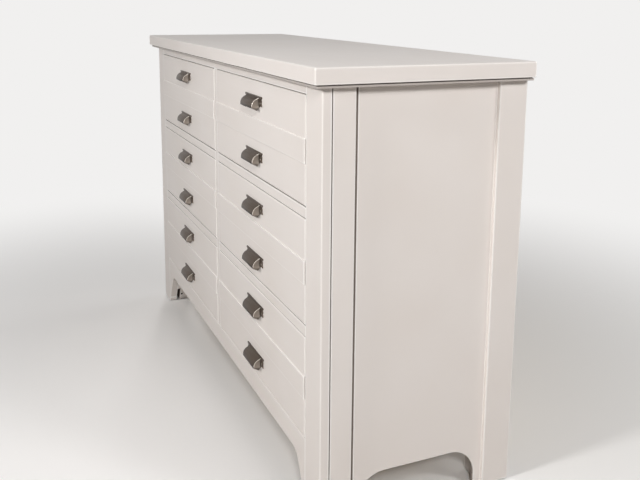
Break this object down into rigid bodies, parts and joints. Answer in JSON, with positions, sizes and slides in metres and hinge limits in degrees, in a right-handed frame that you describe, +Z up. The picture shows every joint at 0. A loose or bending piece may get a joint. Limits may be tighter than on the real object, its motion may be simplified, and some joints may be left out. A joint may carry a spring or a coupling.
{
  "type": "double dresser",
  "caption": "Wide painted case with inset drawers in two columns, cup pulls, an overhanging top and cut-out feet; each drawer slides forward on wooden runners.",
  "frame": {"origin": "on the floor, at the middle of the dresser's outline seen from above", "axes": "+Z up, +X to the right of someone facing the drawers, the drawer fronts face -Y"},
  "size_m": [1.592, 0.528, 1.02],
  "materials": {
    "painted_wood": "warm off-white satin paint",
    "bare_wood": "planed, unfinished",
    "back_board": "thin plywood, sealed",
    "drawer_wood": "clear satin lacquer",
    "drawer_board": "thin plywood, sealed",
    "pewter": "brushed, darkened pewter",
    "pewter_screws": "brushed, darkened pewter",
    "dark_screws": "blackened steel",
    "glide_plastic": "moulded nylon"
  },
  "bodies": {
    "case": {"top_panel": "painted_wood", "top_moulding": "painted_wood", "face_stile_right": "painted_wood", "face_stile_left": "painted_wood", "centre_stile": "painted_wood", "top_rail": "painted_wood", "mid_rails": "painted_wood", "bottom_rail": "painted_wood", "side_front_stile_right": "painted_wood", "side_front_stile_left": "painted_wood", "side_rear_stile_right": "painted_wood", "side_rear_stile_left": "painted_wood", "side_panel_right": "painted_wood", "side_panel_left": "painted_wood", "back_panel": "back_board", "rear_rails": "bare_wood", "bottom_panel": "bare_wood", "centre_partition": "bare_wood", "drawer_runners": "bare_wood", "drawer_guides": "bare_wood", "drawer_stops": "bare_wood", "foot_blocks": "painted_wood", "foot_screws": "dark_screws", "glides": "glide_plastic"},
    "drawer_left_bottom": {"drawer_left_bottom_front": "painted_wood", "drawer_left_bottom_sides": "drawer_wood", "drawer_left_bottom_back": "drawer_wood", "drawer_left_bottom_bottom": "drawer_board", "drawer_left_bottom_pulls": "pewter", "drawer_left_bottom_pull_screws": "pewter_screws"},
    "drawer_right_bottom": {"drawer_right_bottom_front": "painted_wood", "drawer_right_bottom_sides": "drawer_wood", "drawer_right_bottom_back": "drawer_wood", "drawer_right_bottom_bottom": "drawer_board", "drawer_right_bottom_pulls": "pewter", "drawer_right_bottom_pull_screws": "pewter_screws"},
    "drawer_left_middle": {"drawer_left_middle_front": "painted_wood", "drawer_left_middle_sides": "drawer_wood", "drawer_left_middle_back": "drawer_wood", "drawer_left_middle_bottom": "drawer_board", "drawer_left_middle_pulls": "pewter", "drawer_left_middle_pull_screws": "pewter_screws"},
    "drawer_right_middle": {"drawer_right_middle_front": "painted_wood", "drawer_right_middle_sides": "drawer_wood", "drawer_right_middle_back": "drawer_wood", "drawer_right_middle_bottom": "drawer_board", "drawer_right_middle_pulls": "pewter", "drawer_right_middle_pull_screws": "pewter_screws"},
    "drawer_left_top": {"drawer_left_top_front": "painted_wood", "drawer_left_top_sides": "drawer_wood", "drawer_left_top_back": "drawer_wood", "drawer_left_top_bottom": "drawer_board", "drawer_left_top_pulls": "pewter", "drawer_left_top_pull_screws": "pewter_screws"},
    "drawer_right_top": {"drawer_right_top_front": "painted_wood", "drawer_right_top_sides": "drawer_wood", "drawer_right_top_back": "drawer_wood", "drawer_right_top_bottom": "drawer_board", "drawer_right_top_pulls": "pewter", "drawer_right_top_pull_screws": "pewter_screws"}
  },
  "joints": [
    {"name": "drawer_left_bottom_slide", "type": "slide", "parent": "case", "child": "drawer_left_bottom", "axis": [0, -1, 0], "range_m": [0, 0.33]},
    {"name": "drawer_right_bottom_slide", "type": "slide", "parent": "case", "child": "drawer_right_bottom", "axis": [0, -1, 0], "range_m": [0, 0.33]},
    {"name": "drawer_left_middle_slide", "type": "slide", "parent": "case", "child": "drawer_left_middle", "axis": [0, -1, 0], "range_m": [0, 0.33]},
    {"name": "drawer_right_middle_slide", "type": "slide", "parent": "case", "child": "drawer_right_middle", "axis": [0, -1, 0], "range_m": [0, 0.33]},
    {"name": "drawer_left_top_slide", "type": "slide", "parent": "case", "child": "drawer_left_top", "axis": [0, -1, 0], "range_m": [0, 0.33]},
    {"name": "drawer_right_top_slide", "type": "slide", "parent": "case", "child": "drawer_right_top", "axis": [0, -1, 0], "range_m": [0, 0.33]}
  ]
}
